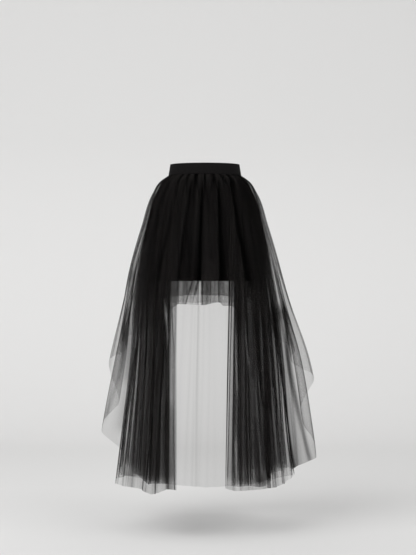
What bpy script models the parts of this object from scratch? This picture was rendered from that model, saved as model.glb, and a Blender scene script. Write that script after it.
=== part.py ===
"""High-low tutu skirt of gathered net, as it hangs on a wearer, modelled in metres.

The origin is the middle of the waistband, on the waist's axis. +Z is up and -Y is the open side,
where the net is short and the legs show. Every sheet of net is a wall that hangs from the
waistband's lower edge and widens as it falls. From the waist outwards lie the lining, the short
net, the inner and outer net of each side panel, and the high-low net, whose hem runs from short
at the open side to long at the far side.
"""

import math
from typing import NamedTuple

import bpy
from mathutils import Vector

# The waistband is an elastic tube, thicker below, where the gathered nets are turned up inside it.
BAND_HEIGHT = 0.035
BAND_TOP_HALF_WIDTH = 0.111
BAND_FOOT_HALF_WIDTH = 0.1165
BAND_INNER_TOP_HALF_WIDTH = 0.1085
BAND_INNER_FOOT_HALF_WIDTH = 0.1066
BAND_STEPS = 64
BAND_LEVELS = 3
BAND_SHARP_DEGREES = 40

# Cloth walls, and the gap that pieces keep at a seam.
LINING_WALL = 0.0012
NET_WALL = 0.0011
SEAM_GAP = 0.0003
SEAM_HEIGHT = -BAND_HEIGHT / 2 - SEAM_GAP

# Fold counts round the waist, and the points that draw one fold.
LINING_FOLDS, LINING_FOLD_POINTS = 10, 6
SHORT_NET_FOLDS, SHORT_NET_FOLD_POINTS = 26, 4
HIGH_LOW_GATHERS, HIGH_LOW_GATHER_POINTS = 30, 4
PANEL_FOLDS, PANEL_FOLD_POINTS = 13, 4

# Two waist gathers of the high-low net run together into each of its big flutes between these heights.
FLUTES_START, FLUTES_FULL = -0.075, -0.600

# All sheets share these heights down to the thigh, so that they nest. Below it each has its own.
SHARED_HEIGHTS = (SEAM_HEIGHT, -0.036, -0.075, -0.180, -0.340)
LEVELS_BELOW_THIGH = 3


class Depth(NamedTuple):
    """How deep the skirt is at a height, as a share of its width, on the open and the far side."""

    height: float
    open_side: float
    far_side: float


class Girth(NamedTuple):
    """A sheet's half-widths at a height, and half the depth of its folds there."""

    height: float
    left: float
    right: float
    fold: float


class Hem(NamedTuple):
    """A hem's height on the left and on the right, at a place along the sheet."""

    place: float
    left: float
    right: float


DEPTHS = (
    Depth(BAND_HEIGHT / 2, 0.80, 0.80),
    Depth(SEAM_HEIGHT, 0.80, 0.80),
    Depth(-0.075, 0.84, 0.85),
    Depth(-0.180, 0.86, 0.89),
    Depth(-0.340, 0.87, 0.93),
    Depth(-1.080, 0.86, 0.97),
)

LINING_GIRTHS = (
    Girth(SEAM_HEIGHT, 0.1068, 0.1068, 0.0),
    Girth(-0.036, 0.1130, 0.1130, 0.0002),
    Girth(-0.075, 0.1270, 0.1270, 0.0005),
    Girth(-0.180, 0.1530, 0.1530, 0.0012),
    Girth(-0.340, 0.1790, 0.1790, 0.0020),
    Girth(-0.370, 0.1810, 0.1810, 0.0022),
)
SHORT_NET_GIRTHS = (
    Girth(SEAM_HEIGHT, 0.1085, 0.1085, 0.0),
    Girth(-0.036, 0.1210, 0.1210, 0.0008),
    Girth(-0.075, 0.1400, 0.1400, 0.0020),
    Girth(-0.180, 0.1640, 0.1640, 0.0035),
    Girth(-0.340, 0.1900, 0.1900, 0.0055),
    Girth(-0.430, 0.1945, 0.1945, 0.0060),
)
PANEL_INNER_GIRTHS = (
    Girth(SEAM_HEIGHT, 0.1105, 0.1105, 0.0),
    Girth(-0.036, 0.1273, 0.1273, 0.0012),
    Girth(-0.075, 0.1480, 0.1480, 0.0030),
    Girth(-0.180, 0.1760, 0.1760, 0.0055),
    Girth(-0.340, 0.2070, 0.2070, 0.0085),
    Girth(-0.600, 0.2240, 0.2430, 0.0120),
    Girth(-0.830, 0.2430, 0.2600, 0.0150),
    Girth(-1.020, 0.2570, 0.2800, 0.0170),
)
PANEL_OUTER_GIRTHS = (
    Girth(SEAM_HEIGHT, 0.1127, 0.1127, 0.0),
    Girth(-0.036, 0.1310, 0.1310, 0.0012),
    Girth(-0.075, 0.1530, 0.1530, 0.0030),
    Girth(-0.180, 0.1820, 0.1820, 0.0055),
    Girth(-0.340, 0.2150, 0.2150, 0.0085),
    Girth(-0.600, 0.2360, 0.2550, 0.0120),
    Girth(-0.830, 0.2580, 0.2760, 0.0150),
    Girth(-1.020, 0.2750, 0.2990, 0.0170),
)
HIGH_LOW_GIRTHS = (
    Girth(SEAM_HEIGHT, 0.1152, 0.1152, 0.0),
    Girth(-0.036, 0.1390, 0.1390, 0.0015),
    Girth(-0.075, 0.1630, 0.1630, 0.0035),
    Girth(-0.180, 0.1970, 0.1970, 0.0065),
    Girth(-0.340, 0.2410, 0.2430, 0.0100),
    Girth(-0.430, 0.2560, 0.2650, 0.0130),
    Girth(-0.600, 0.2840, 0.3080, 0.0220),
    Girth(-0.830, 0.3260, 0.3460, 0.0270),
    Girth(-1.080, 0.3560, 0.3760, 0.0300),
)

# The place along a sheet that goes all the way round is its turn in degrees from the open side.
LINING_HEM = (
    Hem(0, -0.356, -0.356),
    Hem(60, -0.364, -0.364),
    Hem(180, -0.366, -0.366),
)
SHORT_NET_HEM = (
    Hem(0, -0.398, -0.398),
    Hem(25, -0.400, -0.402),
    Hem(70, -0.420, -0.422),
    Hem(180, -0.428, -0.428),
)
HIGH_LOW_HEM = (
    Hem(0, -0.429, -0.429),
    Hem(14, -0.431, -0.433),
    Hem(36, -0.470, -0.478),
    Hem(60, -0.538, -0.560),
    Hem(84, -0.602, -0.655),
    Hem(96, -0.730, -0.780),
    Hem(108, -0.840, -0.932),
    Hem(132, -1.005, -1.010),
    Hem(156, -1.045, -1.050),
    Hem(180, -1.067, -1.067),
)
# The place along a side panel is its share from the open side's edge, 0, to the far side's edge, 1.
PANEL_INNER_HEM = (
    Hem(0.00, -0.972, -0.962),
    Hem(0.20, -0.974, -0.982),
    Hem(0.40, -0.950, -0.955),
    Hem(0.55, -0.946, -0.930),
    Hem(1.00, -0.985, -0.970),
)
PANEL_OUTER_HEM = (
    Hem(0.00, -0.980, -0.980),
    Hem(0.20, -1.006, -1.000),
    Hem(0.40, -1.000, -0.985),
    Hem(0.55, -0.996, -0.950),
    Hem(1.00, -1.010, -0.995),
)


class Edges(NamedTuple):
    """How far sideways of the middle a side panel's two edges hang, at the seam and at the hem."""

    open_seam: float
    open_hem: float
    far_seam: float
    far_hem: float


PANEL_EDGES = {
    "left": Edges(0.086, 0.086, 0.100, 0.122),
    "right": Edges(0.084, 0.062, 0.100, 0.110),
}
# The inner net of a panel is cut narrower, by so many of its points at the open and the far edge.
PANEL_INNER_TRIMS = {"left": (3, 1), "right": (2, 1)}
EDGE_HEM_HEIGHT = -1.000

LINING_BLACK = (0.010, 0.010, 0.010)
BAND_BLACK = (0.011, 0.011, 0.011)
NET_BLACK = (0.014, 0.013, 0.012)
CLOTH_ROUGHNESS = 0.85


def between(rows, at, column):
    """The named column of a table, at a value of its first column, straight between two rows."""
    rising = rows[-1][0] > rows[0][0]
    for upper, lower in zip(rows, rows[1:]):
        reached = at <= lower[0] if rising else at >= lower[0]
        if reached or lower is rows[-1]:
            share = (at - upper[0]) / (lower[0] - upper[0])
            share = min(max(share, 0.0), 1.0)
            return getattr(upper, column) * (1 - share) + getattr(lower, column) * share
    raise ValueError("a table needs two rows")


def around(girths, turn, height, wave):
    """A sheet's point at a turn from the open side, positive to the right, moved out by its folds."""
    to_right = (1 + math.sin(turn)) / 2
    to_far = (1 - math.cos(turn)) / 2
    half_width = (
        between(girths, height, "left") * (1 - to_right)
        + between(girths, height, "right") * to_right
    )
    depth = (
        between(DEPTHS, height, "open_side") * (1 - to_far)
        + between(DEPTHS, height, "far_side") * to_far
    )
    reach = half_width + between(girths, height, "fold") * wave
    return Vector((reach * math.sin(turn), -depth * reach * math.cos(turn), height))


def side_of(turn):
    return "left" if math.sin(turn) < 0 else "right"


def heights_to(hem_height):
    """The levels of a sheet's points, from the seam to its hem."""
    thigh = SHARED_HEIGHTS[-1]
    below = [
        thigh + (hem_height - thigh) * level / LEVELS_BELOW_THIGH
        for level in range(1, LEVELS_BELOW_THIGH + 1)
    ]
    return (*SHARED_HEIGHTS, *below)


def short_heights_to(hem_height):
    return (*SHARED_HEIGHTS, hem_height)


def round_sheet(girths, hem, heights, wave, points):
    """The rows of points of a sheet that goes all the way round, from the seam to the hem."""
    columns = []
    for step in range(points):
        turn = 2 * math.pi * step / points
        place = abs(math.degrees(math.remainder(turn, 2 * math.pi)))
        levels = heights(between(hem, place, side_of(turn)))
        columns.append([around(girths, turn, z, wave(turn, z)) for z in levels])
    return [list(row) for row in zip(*columns)]


def even_folds(count):
    """Folds that are the same all the way round."""
    return lambda turn, height: math.cos(count * turn)


def merging_gathers(turn, height):
    """The high-low net's waist gathers, which run together in pairs into big flutes further down."""
    merged = (height - FLUTES_START) / (FLUTES_FULL - FLUTES_START)
    merged = min(max(merged, 0.0), 1.0)
    gathers = -math.cos(HIGH_LOW_GATHERS * turn)
    flutes = -math.cos(HIGH_LOW_GATHERS / 2 * turn)
    return gathers * (1 - merged) + flutes * merged


def edge_turn(side, height, seam, hem, far):
    """The turn at which a panel's edge hangs at a height, from its sideways places."""
    drop = (height - SEAM_HEIGHT) / (EDGE_HEM_HEIGHT - SEAM_HEIGHT)
    sideways = seam + (hem - seam) * drop
    turn = math.asin(sideways / between(PANEL_OUTER_GIRTHS, height, side))
    return math.pi - turn if far else turn


def panel_sheet(girths, hem, side, trims):
    """The rows of points of a side panel, from its open edge, round the hip, to its far edge."""
    sign = -1 if side == "left" else 1
    edges = PANEL_EDGES[side]
    steps = PANEL_FOLDS * PANEL_FOLD_POINTS
    columns = []
    for step in range(trims[0], steps + 1 - trims[1]):
        share = step / steps
        wave = math.sin(2 * math.pi * PANEL_FOLDS * share)
        column = []
        for z in heights_to(between(hem, share, side)):
            start = edge_turn(side, z, edges.open_seam, edges.open_hem, far=False)
            end = edge_turn(side, z, edges.far_seam, edges.far_hem, far=True)
            turn = sign * (start + (end - start) * share)
            column.append(around(girths, turn, z, wave))
        columns.append(column)
    if side == "left":
        columns.reverse()
    return [list(row) for row in zip(*columns)]


def outward(rows, level, step, closed):
    """The sheet's unit normal at a point, away from the waist's axis."""
    row = rows[level]
    count = len(row)
    if closed:
        before, after = row[step - 1], row[(step + 1) % count]
    else:
        before, after = row[max(step - 1, 0)], row[min(step + 1, count - 1)]
    above = rows[max(level - 1, 0)][step]
    below = rows[min(level + 1, len(rows) - 1)][step]
    return (after - before).cross(above - below).normalized()


def moved_out(rows, level, step, closed, wall):
    """A point of the sheet's outer face. The top edge moves out level, so that it meets the band."""
    normal = outward(rows, level, step, closed)
    if level > 0:
        return rows[level][step] + normal * wall
    flat = Vector((normal.x, normal.y, 0.0))
    return rows[level][step] + flat * (wall / flat.length_squared)


def wall_mesh(name, rows, closed, wall):
    """A closed wall of cloth: the sheet's points inside, and the same points moved out."""
    levels, count = len(rows), len(rows[0])
    inner = [point for row in rows for point in row]
    outer = [
        moved_out(rows, level, step, closed, wall)
        for level in range(levels)
        for step in range(count)
    ]
    offset = len(inner)

    def at(level, step, side=0):
        return side * offset + level * count + step % count

    steps = count if closed else count - 1
    faces = []
    for level in range(levels - 1):
        for step in range(steps):
            upper, lower = level, level + 1
            faces.append(
                (at(upper, step), at(upper, step + 1), at(lower, step + 1), at(lower, step))
            )
            faces.append(
                (
                    at(upper, step, 1),
                    at(lower, step, 1),
                    at(lower, step + 1, 1),
                    at(upper, step + 1, 1),
                )
            )
    last = levels - 1
    for step in range(steps):
        faces.append((at(0, step), at(0, step, 1), at(0, step + 1, 1), at(0, step + 1)))
        faces.append(
            (at(last, step), at(last, step + 1), at(last, step + 1, 1), at(last, step, 1))
        )
    if not closed:
        for level in range(levels - 1):
            low = level + 1
            faces.append((at(level, 0), at(low, 0), at(low, 0, 1), at(level, 0, 1)))
            end = count - 1
            faces.append((at(level, end), at(level, end, 1), at(low, end, 1), at(low, end)))
    mesh = bpy.data.meshes.new(name)
    mesh.from_pydata([tuple(point) for point in (*inner, *outer)], [], faces)
    mesh.update()
    mesh.shade_smooth()
    return mesh


def cloth_material(name, colour):
    """A plain cloth finish of one colour."""
    material = bpy.data.materials.new(name)
    material.use_nodes = True
    shader = material.node_tree.nodes["Principled BSDF"]
    shader.inputs["Base Color"].default_value = (*colour, 1.0)
    shader.inputs["Roughness"].default_value = CLOTH_ROUGHNESS
    shader.inputs["Metallic"].default_value = 0.0
    return material


def add_piece(name, mesh, material):
    piece = bpy.data.objects.new(name, mesh)
    piece.data.materials.append(material)
    bpy.context.scene.collection.objects.link(piece)


def add_waistband(material):
    """The elastic waistband: its outer face leans out, and its inner face is nearly upright."""
    points, faces = [], []
    top, foot = BAND_HEIGHT / 2, -BAND_HEIGHT / 2
    depth = DEPTHS[0].open_side
    widths = (
        (BAND_TOP_HALF_WIDTH, BAND_FOOT_HALF_WIDTH),
        (BAND_INNER_TOP_HALF_WIDTH, BAND_INNER_FOOT_HALF_WIDTH),
    )
    loops = [
        (upper + (lower - upper) * level / (BAND_LEVELS - 1), level)
        for upper, lower in widths
        for level in range(BAND_LEVELS)
    ]
    for half_width, level in loops:
        height = top + (foot - top) * level / (BAND_LEVELS - 1)
        for step in range(BAND_STEPS):
            turn = 2 * math.pi * step / BAND_STEPS
            points.append(
                (half_width * math.sin(turn), -depth * half_width * math.cos(turn), height)
            )
    # The loops in order round the band's section: down the outside, then up the inside.
    order = [*range(BAND_LEVELS), *reversed(range(BAND_LEVELS, 2 * BAND_LEVELS))]
    for first, second in zip(order, [*order[1:], order[0]]):
        for step in range(BAND_STEPS):
            after = (step + 1) % BAND_STEPS
            faces.append(
                (
                    first * BAND_STEPS + step,
                    second * BAND_STEPS + step,
                    second * BAND_STEPS + after,
                    first * BAND_STEPS + after,
                )
            )
    mesh = bpy.data.meshes.new("waistband")
    mesh.from_pydata(points, [], faces)
    mesh.update()
    mesh.shade_smooth()
    mesh.set_sharp_from_angle(angle=math.radians(BAND_SHARP_DEGREES))
    add_piece("waistband", mesh, material)


def add_round_sheets(lining_material, net_material):
    """The lining, the short net over it, and the high-low net outside everything."""
    lining = round_sheet(
        LINING_GIRTHS,
        LINING_HEM,
        short_heights_to,
        even_folds(LINING_FOLDS),
        LINING_FOLDS * LINING_FOLD_POINTS,
    )
    short_net = round_sheet(
        SHORT_NET_GIRTHS,
        SHORT_NET_HEM,
        short_heights_to,
        even_folds(SHORT_NET_FOLDS),
        SHORT_NET_FOLDS * SHORT_NET_FOLD_POINTS,
    )
    high_low = round_sheet(
        HIGH_LOW_GIRTHS,
        HIGH_LOW_HEM,
        heights_to,
        merging_gathers,
        HIGH_LOW_GATHERS * HIGH_LOW_GATHER_POINTS,
    )
    for name, rows, wall, material in (
        ("lining", lining, LINING_WALL, lining_material),
        ("short_net", short_net, NET_WALL, net_material),
        ("high_low_net", high_low, NET_WALL, net_material),
    ):
        add_piece(name, wall_mesh(name, rows, True, wall), material)


def add_side_panels(material):
    """Each side's long gathered net: an inner one, and an outer one that hangs a little lower."""
    for side in ("left", "right"):
        for layer, girths, hem, trims in (
            ("inner", PANEL_INNER_GIRTHS, PANEL_INNER_HEM, PANEL_INNER_TRIMS[side]),
            ("outer", PANEL_OUTER_GIRTHS, PANEL_OUTER_HEM, (0, 0)),
        ):
            name = f"{side}_panel_{layer}"
            rows = panel_sheet(girths, hem, side, trims)
            add_piece(name, wall_mesh(name, rows, False, NET_WALL), material)


def main():
    for old in list(bpy.data.objects):
        bpy.data.objects.remove(old)
    net_material = cloth_material("black_net", NET_BLACK)
    add_waistband(cloth_material("black_elastic", BAND_BLACK))
    add_round_sheets(cloth_material("black_lining", LINING_BLACK), net_material)
    add_side_panels(net_material)


main()
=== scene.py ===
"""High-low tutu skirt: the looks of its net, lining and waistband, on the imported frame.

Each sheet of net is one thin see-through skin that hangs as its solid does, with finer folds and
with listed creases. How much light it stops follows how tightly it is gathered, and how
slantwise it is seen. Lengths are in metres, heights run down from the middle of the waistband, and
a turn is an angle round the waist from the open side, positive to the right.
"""

import math
from typing import NamedTuple

import bpy
import numpy as np
from bpy.props import FloatProperty, FloatVectorProperty, IntProperty, PointerProperty
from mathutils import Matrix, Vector


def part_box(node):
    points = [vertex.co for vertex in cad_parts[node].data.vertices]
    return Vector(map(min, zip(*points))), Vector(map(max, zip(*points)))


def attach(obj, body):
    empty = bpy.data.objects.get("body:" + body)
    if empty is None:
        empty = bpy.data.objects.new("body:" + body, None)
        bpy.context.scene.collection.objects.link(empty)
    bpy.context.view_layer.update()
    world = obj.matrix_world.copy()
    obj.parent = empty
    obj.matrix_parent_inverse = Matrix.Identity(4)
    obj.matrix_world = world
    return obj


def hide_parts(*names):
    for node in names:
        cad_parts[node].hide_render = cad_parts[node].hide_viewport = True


bl_info = {
    "name": "High-low tutu skirt",
    "version": (1, 0, 0),
    "blender": (4, 5, 0),
    "location": "View3D > Sidebar > Tutu skirt",
    "description": "Dresses the packed skirt in gathered net, lining and elastic",
    "category": "Object",
}

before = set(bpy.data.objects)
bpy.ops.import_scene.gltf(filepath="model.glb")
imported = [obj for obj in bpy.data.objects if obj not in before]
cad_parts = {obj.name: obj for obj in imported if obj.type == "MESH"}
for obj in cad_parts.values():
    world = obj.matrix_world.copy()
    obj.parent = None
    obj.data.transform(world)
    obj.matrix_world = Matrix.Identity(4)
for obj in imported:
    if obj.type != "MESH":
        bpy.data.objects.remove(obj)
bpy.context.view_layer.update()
BODY = "root"

# The waistband's height and foot, read from its solid.
BAND_LOW, BAND_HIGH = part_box("waistband")
SEAM_HEIGHT = BAND_LOW.z - 0.0003

# The photo's height in pixels.
PHOTO_HEIGHT = 555


class Depth(NamedTuple):
    """How deep the skirt is at a height, as a share of its width, on the open and the far side."""

    height: float
    open_side: float
    far_side: float


class Girth(NamedTuple):
    """A sheet's half-widths at a height, half the depth of its main and fine folds, and its plies."""

    height: float
    left: float
    right: float
    fold: float
    fine: float
    plies: float


class Hem(NamedTuple):
    """A hem's height on the left and on the right, at a place along the sheet."""

    place: float
    left: float
    right: float


class Edges(NamedTuple):
    """How far sideways of the middle a side panel's two edges hang, at the seam and at the hem."""

    open_seam: float
    open_hem: float
    far_seam: float
    far_hem: float


class Crease(NamedTuple):
    """A trough given at a turn in degrees, between two heights."""

    turn: float
    width: float
    depth: float
    top: float
    foot: float


class Fold(NamedTuple):
    """A fold that the photo shows, as a line between two heights, sideways of the middle.

    The cloth is pulled in by the depth, laps over itself by the lap, and is darker by the painted
    shade and as many times denser as the plies say. It reaches so far to the left and to the right at
    its end, and the narrowing is the share of that at its start.
    """

    start: float
    end: float
    start_side: float
    end_side: float
    left: float
    right: float
    depth: float = 0.0
    lap: float = 0.0
    shade: float = 0.0
    plies: float = 1.0
    narrowing: float = 1.0
    far: bool = False


def line(start, end, start_side, end_side, reach, **kinds):
    """A fold that reaches as far to the left as to the right."""
    return Fold(start, end, start_side, end_side, reach, reach, **kinds)


class Density(NamedTuple):
    """How densely a side panel's two nets are gathered, at a share along the panel.

    The foot is the outer net's density along its very hem.
    """

    place: float
    inner: float
    outer: float
    foot: float


class Gathers(NamedTuple):
    """Painted shade of small gathers under the waistband: how far they lean, and the seed of their
    places.
    """

    lean: float
    seed: int


class RoundCut(NamedTuple):
    """A sheet that goes all the way round: its form, its folds, its grid and its random draws.

    The waver is 1 where its hem strays up and down, and merging folds run together in pairs.
    """

    girths: tuple
    hem: tuple
    folds: int
    creases: tuple
    lines: tuple
    columns: int
    rows: int
    seed: int
    waver: float = 1.0
    merging: bool = False


class BackdropPaintedLight(NamedTuple):
    """Painted light and shade: how pale the backdrop is painted, at a length along it from its near
    edge.
    """

    place: float
    tone: float


DEPTHS = (
    Depth(0.0175, 0.80, 0.80),
    Depth(SEAM_HEIGHT, 0.80, 0.80),
    Depth(-0.075, 0.84, 0.85),
    Depth(-0.180, 0.86, 0.89),
    Depth(-0.340, 0.87, 0.93),
    Depth(-1.080, 0.86, 0.97),
)
LINING_GIRTHS = (
    Girth(SEAM_HEIGHT, 0.1070, 0.1070, 0.0, 0.0001, 1),
    Girth(-0.036, 0.1132, 0.1132, 0.0002, 0.0003, 1),
    Girth(-0.075, 0.1272, 0.1272, 0.0005, 0.0006, 1),
    Girth(-0.180, 0.1532, 0.1532, 0.0012, 0.0006, 1),
    Girth(-0.340, 0.1792, 0.1792, 0.0020, 0.0004, 1),
    Girth(-0.370, 0.1812, 0.1812, 0.0022, 0.0004, 1),
)
SHORT_NET_GIRTHS = (
    Girth(SEAM_HEIGHT, 0.1090, 0.1090, 0.0, 0.0002, 4.0),
    Girth(-0.036, 0.1215, 0.1215, 0.0008, 0.0012, 3.0),
    Girth(-0.075, 0.1405, 0.1405, 0.0020, 0.0016, 2.2),
    Girth(-0.180, 0.1645, 0.1645, 0.0035, 0.0014, 1.5),
    Girth(-0.340, 0.1905, 0.1905, 0.0055, 0.0010, 1.15),
    Girth(-0.430, 0.1950, 0.1950, 0.0060, 0.0010, 1.05),
)
PANEL_INNER_GIRTHS = (
    Girth(SEAM_HEIGHT, 0.1110, 0.1110, 0.0, 0.0002, 4.5),
    Girth(-0.036, 0.1278, 0.1278, 0.0012, 0.0010, 3.6),
    Girth(-0.075, 0.1485, 0.1485, 0.0030, 0.0015, 2.8),
    Girth(-0.180, 0.1765, 0.1765, 0.0055, 0.0020, 2.2),
    Girth(-0.340, 0.2075, 0.2075, 0.0085, 0.0018, 2.6),
    Girth(-0.600, 0.2245, 0.2380, 0.0050, 0.0008, 2.3),
    Girth(-0.830, 0.2435, 0.2520, 0.0040, 0.0006, 2.0),
    Girth(-1.020, 0.2600, 0.2700, 0.0030, 0.0003, 1.9),
)
PANEL_OUTER_GIRTHS = (
    Girth(SEAM_HEIGHT, 0.1132, 0.1132, 0.0, 0.0002, 4.5),
    Girth(-0.036, 0.1315, 0.1315, 0.0012, 0.0010, 3.6),
    Girth(-0.075, 0.1535, 0.1535, 0.0030, 0.0015, 2.8),
    Girth(-0.180, 0.1825, 0.1825, 0.0055, 0.0020, 2.2),
    Girth(-0.340, 0.2155, 0.2155, 0.0085, 0.0018, 1.5),
    Girth(-0.600, 0.2365, 0.2490, 0.0050, 0.0008, 1.3),
    Girth(-0.830, 0.2645, 0.2680, 0.0040, 0.0006, 1.5),
    Girth(-1.020, 0.2885, 0.2920, 0.0028, 0.0003, 1.9),
)
HIGH_LOW_GIRTHS = (
    Girth(SEAM_HEIGHT, 0.1157, 0.1157, 0.0, 0.0002, 4.0),
    Girth(-0.036, 0.1395, 0.1395, 0.0015, 0.0012, 2.6),
    Girth(-0.075, 0.1635, 0.1635, 0.0035, 0.0018, 1.8),
    Girth(-0.180, 0.1975, 0.1975, 0.0065, 0.0018, 1.25),
    Girth(-0.340, 0.2415, 0.2435, 0.0100, 0.0014, 1.0),
    Girth(-0.430, 0.2565, 0.2655, 0.0130, 0.0012, 1.0),
    Girth(-0.600, 0.2845, 0.3085, 0.0220, 0.0012, 0.90),
    Girth(-0.830, 0.3265, 0.3465, 0.0270, 0.0012, 0.90),
    Girth(-1.080, 0.3565, 0.3765, 0.0300, 0.0012, 0.90),
)
LINING_HEM = (
    Hem(0, -0.355, -0.355),
    Hem(180, -0.356, -0.356),
)
SHORT_NET_HEM = (
    Hem(0, -0.398, -0.398),
    Hem(25, -0.400, -0.402),
    Hem(70, -0.420, -0.422),
    Hem(180, -0.428, -0.428),
)
HIGH_LOW_HEM = (
    Hem(0, -0.427, -0.427),
    Hem(3, -0.427, -0.424),
    Hem(8, -0.426, -0.419),
    Hem(10, -0.426, -0.420),
    Hem(12, -0.426, -0.432),
    Hem(18, -0.427, -0.433),
    Hem(36, -0.470, -0.478),
    Hem(60, -0.538, -0.560),
    Hem(84, -0.602, -0.655),
    Hem(96, -0.730, -0.780),
    Hem(108, -0.840, -0.932),
    Hem(132, -1.005, -1.010),
    Hem(156, -1.045, -1.050),
    Hem(180, -1.067, -1.067),
)
PANEL_INNER_HEM = (
    Hem(0.00, -0.979, -0.978),
    Hem(0.05, -0.975, -0.983),
    Hem(0.16, -0.982, -0.988),
    Hem(0.19, -0.985, -0.988),
    Hem(0.23, -0.968, -0.986),
    Hem(0.26, -0.964, -0.962),
    Hem(0.29, -0.963, -0.958),
    Hem(0.32, -0.957, -0.955),
    Hem(0.37, -0.942, -0.951),
    Hem(0.50, -0.938, -0.942),
    Hem(1.00, -0.985, -0.970),
)
PANEL_OUTER_HEM = (
    Hem(0.00, -0.997, -0.985),
    Hem(0.05, -0.991, -0.993),
    Hem(0.13, -1.007, -0.999),
    Hem(0.22, -0.998, -0.993),
    Hem(0.33, -0.994, -0.984),
    Hem(0.40, -0.996, -0.978),
    Hem(0.50, -0.999, -0.970),
    Hem(0.62, -0.990, -0.960),
    Hem(1.00, -1.010, -0.995),
)
PANEL_EDGES = {
    "left": Edges(0.086, 0.086, 0.100, 0.122),
    "right": Edges(0.084, 0.062, 0.100, 0.110),
}
# The inner net of a panel is cut narrower, by these shares at the open and the far edge.
PANEL_INNER_TRIMS = {"left": (3 / 52, 1 / 52), "right": (2 / 52, 1 / 52)}
EDGE_HEM_HEIGHT = -1.000
FLUTES_START, FLUTES_FULL = -0.075, -0.600
# The far side hangs calmer: past this cosine of its turn and under this height, over these ranges.
CALM_TURN, CALM_HEIGHT, CALM_TURN_FADE, CALM_HEIGHT_FADE = 0.86, -0.30, 0.10, 0.20
# It loses this share of its folds there, and hangs out by this share of their depth instead.
CALM_SHARE, CALM_OUT = 0.85, 0.6
# How streaked a round net is in the middle, how much more at its sides, and less where it is calm.
STREAKED_MIDDLE, STREAKED_SIDES, STREAKED_CALM = 0.25, 0.40, 0.20

LINING_FOLDS, SHORT_NET_FOLDS, HIGH_LOW_GATHERS, PANEL_FOLDS = 10, 26, 30, 13

# Folds seen over the lining, from the waist down, sharp on one side and soft on the other.
# Each fold's shade is painted shade, darkening the cloth's colour along its trough.
WAIST_FOLDS = (
    Fold(-0.060, -0.352, -0.124, -0.202, 0.010, 0.009, depth=0.003, shade=0.45, narrowing=0.3),
    Fold(-0.060, -0.352, -0.084, -0.153, 0.010, 0.012, depth=0.004, shade=0.60, narrowing=0.3),
    Fold(-0.055, -0.352, -0.043, -0.084, 0.007, 0.010, depth=0.004, shade=0.80, narrowing=0.3),
    Fold(-0.180, -0.352, -0.048, -0.050, 0.024, 0.026, depth=0.001, shade=0.60, narrowing=0.3),
    Fold(-0.055, -0.352, -0.006, -0.015, 0.018, 0.005, depth=0.005, shade=1.00, narrowing=0.3),
    Fold(-0.050, -0.352, 0.042, 0.051, 0.006, 0.026, depth=0.005, shade=0.97, narrowing=0.3),
    Fold(-0.045, -0.352, 0.080, 0.130, 0.007, 0.026, depth=0.005, shade=0.92, narrowing=0.3),
    Fold(-0.060, -0.352, 0.109, 0.176, 0.009, 0.010, depth=0.003, shade=0.52, narrowing=0.3),
    Fold(-0.060, -0.352, 0.129, 0.206, 0.008, 0.009, depth=0.002, shade=0.38, narrowing=0.3),
)
# Folds seen at the short nets' hems under the lining.
HEM_FOLDS = (
    line(-0.300, -0.520, 0.0, 0.0, 0.125, plies=3.0),
    line(-0.350, -0.440, -0.0850, -0.0800, 0.0018, plies=2.6),
    line(-0.350, -0.430, -0.0630, -0.0660, 0.0080, plies=1.4),
    line(-0.350, -0.440, -0.0370, -0.0620, 0.0030, lap=0.0036, plies=1.8),
    line(-0.350, -0.400, -0.0200, -0.0320, 0.0022, plies=2.6),
    line(-0.400, -0.500, -0.0400, -0.0420, 0.0160, plies=0.3),
    Fold(-0.350, -0.500, -0.0145, -0.0170, 0.0062, 0.0042, plies=0.01),
    line(-0.350, -0.500, -0.0080, -0.0080, 0.0016, plies=3.0),
    line(-0.350, -0.500, 0.0020, 0.0020, 0.0110, plies=1.5),
    line(-0.350, -0.500, 0.0180, 0.0180, 0.0014, plies=1.8),
    line(-0.350, -0.500, 0.0420, 0.0450, 0.0024, lap=0.0024, plies=2.4),
    line(-0.350, -0.500, 0.0770, 0.0770, 0.0018, plies=3.2),
)
# Lines seen in the outermost net, on its far side.
OUTER_LINES = (
    Fold(-0.450, -0.960, 0.240, 0.312, 0.022, 0.020, plies=5.0, far=True),
    line(-0.417, -0.985, 0.206, 0.283, 0.0024, plies=3.6, far=True),
    line(-0.417, -0.985, 0.229, 0.316, 0.0026, plies=3.6, far=True),
    line(-0.417, -0.930, 0.248, 0.332, 0.0024, plies=3.6, far=True),
    Fold(-0.450, -0.820, -0.256, -0.302, 0.010, 0.013, plies=3.0, far=True),
    Fold(-0.330, -0.480, -0.230, -0.242, 0.010, 0.012, plies=2.8, far=True),
    line(-0.330, -0.450, 0.230, 0.240, 0.012, plies=1.7, far=True),
    line(-0.500, -0.660, -0.270, -0.283, 0.016, plies=1.7, far=True),
    line(-0.417, -0.985, -0.212, -0.270, 0.0024, plies=3.2, far=True),
    line(-0.417, -0.960, -0.231, -0.290, 0.0024, plies=3.2, far=True),
    line(-0.417, -0.780, -0.251, -0.318, 0.0022, plies=2.4, far=True),
)
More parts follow.
